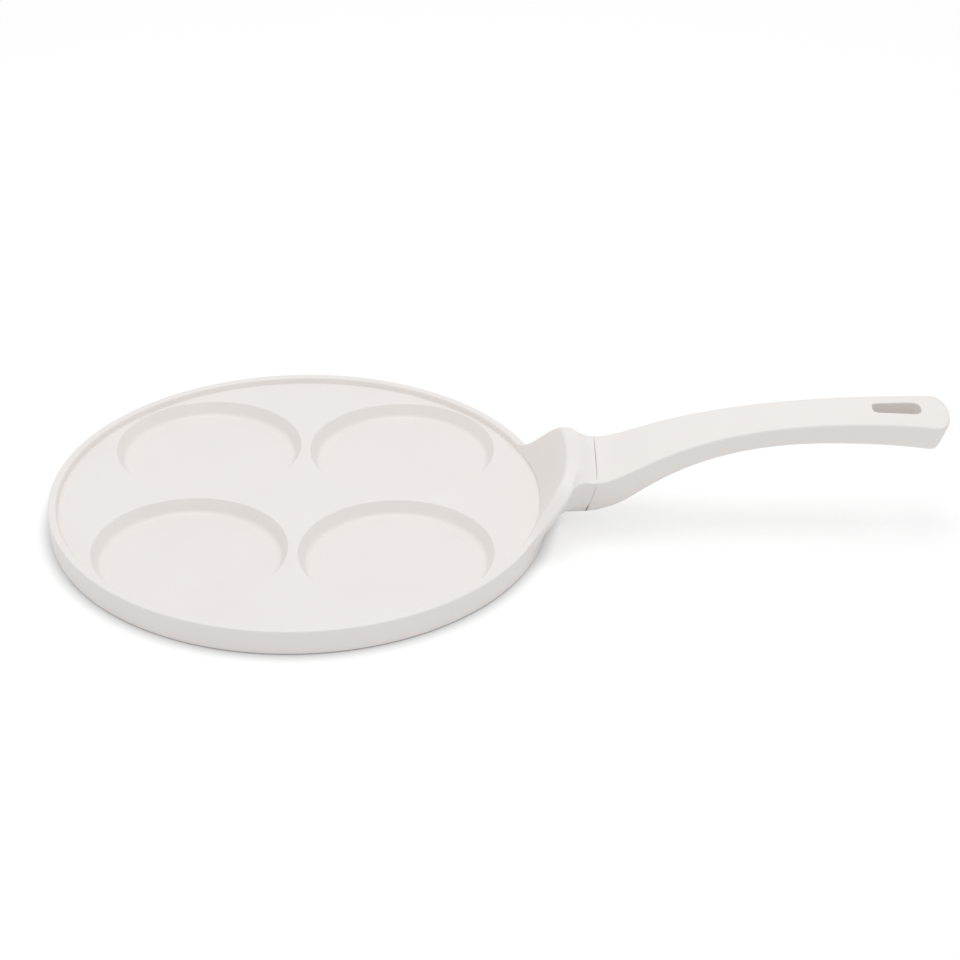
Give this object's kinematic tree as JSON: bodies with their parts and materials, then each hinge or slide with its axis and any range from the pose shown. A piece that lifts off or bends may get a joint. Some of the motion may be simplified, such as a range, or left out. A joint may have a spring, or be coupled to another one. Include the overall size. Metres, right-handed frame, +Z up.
{
  "type": "pancake pan",
  "caption": "Low round cast pan with shallow round pancake moulds, a scooped lug, an induction base and a fixed S-curved moulded handle with a hang slot.",
  "frame": {"origin": "middle of the round base, on the surface that the pan stands on", "axes": "+X along the handle, away from the pan; +Z up out of the moulds; the pan is symmetric about the XZ plane"},
  "size_m": [0.4631, 0.2598, 0.0676],
  "materials": {
    "coated_casting": "die-cast aluminium under a warm off-white satin non-stick coating",
    "plate_steel": "ferritic steel with a fine turned finish",
    "gasket_rubber": "dull warm-grey heat-proof silicone",
    "handle_moulding": "phenolic moulding with a warm off-white soft-touch lacquer",
    "fastener_steel": "zinc-plated steel"
  },
  "bodies": {
    "root": {"pan_body": "coated_casting", "induction_plate": "plate_steel", "heat_gasket": "gasket_rubber", "handle": "handle_moulding", "thread_insert": "fastener_steel", "screw_bush": "fastener_steel", "lock_washer": "fastener_steel", "handle_screw": "fastener_steel"}
  },
  "joints": []
}
